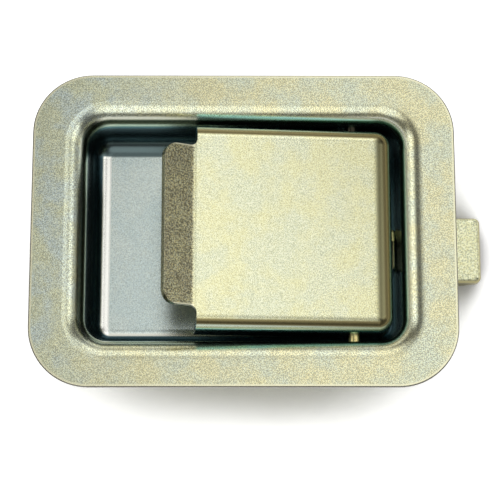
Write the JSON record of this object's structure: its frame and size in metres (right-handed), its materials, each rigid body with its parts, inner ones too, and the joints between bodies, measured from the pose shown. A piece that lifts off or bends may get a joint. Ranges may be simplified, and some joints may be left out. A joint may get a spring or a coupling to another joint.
{
  "type": "paddle handle latch",
  "caption": "Flush paddle latch: lifting the finger lip swings the paddle on its pin and draws the sprung bolt back from its keeper",
  "frame": {"origin": "centre of the four mounting studs, on the back face of the flange that seats on the panel", "axes": "+X towards the bolt nose, +Y up the face, +Z out of the face towards the user; the latch lies on its back with its face up"},
  "size_m": [0.1314, 0.0904, 0.0461],
  "materials": {
    "pan_plating": "zinc plated steel sheet, pale yellow chromate, fine satin grain",
    "paddle_plating": "zinc plated steel sheet, yellow chromate, fine satin grain",
    "housing_plating": "zinc plated steel sheet, pale yellow chromate",
    "bolt_plating": "cast and zinc plated, yellow chromate, pitted",
    "pin_plating": "turned steel, yellow chromate",
    "bright_zinc": "zinc plated, semi bright",
    "spring_steel": "drawn spring wire, smooth"
  },
  "bodies": {
    "frame": {"pan": "pan_plating", "mounting_studs": "bright_zinc", "pivot_pin": "pin_plating", "pin_retainer": "spring_steel", "bolt_housing": "housing_plating", "housing_rivets": "bright_zinc", "spring_guide_rod": "bright_zinc", "bolt_spring": "spring_steel", "paddle_spring_upper": "spring_steel", "paddle_spring_lower": "spring_steel"},
    "paddle": {"paddle": "paddle_plating"},
    "bolt": {"bolt": "bolt_plating"}
  },
  "joints": [
    {"name": "paddle_hinge", "type": "hinge", "parent": "frame", "child": "paddle", "pos_m": [0.0314, 0, -0.006], "axis": [0, 1, 0], "range_deg": [0, 30], "stiffness_Nm_per_rad": 0.2, "springref_deg": -20.05, "deforming": ["paddle_spring_upper", "paddle_spring_lower"]},
    {"name": "bolt_slide", "type": "slide", "parent": "frame", "child": "bolt", "axis": [-1, 0, 0], "range_m": [0, 0.01125], "stiffness_N_per_m": 3500, "springref_m": -0.005, "deforming": ["bolt_spring"]}
  ],
  "couplings": [
    {"joint": "paddle_hinge", "follows": "bolt_slide", "rad_per_m": 46.402}
  ]
}
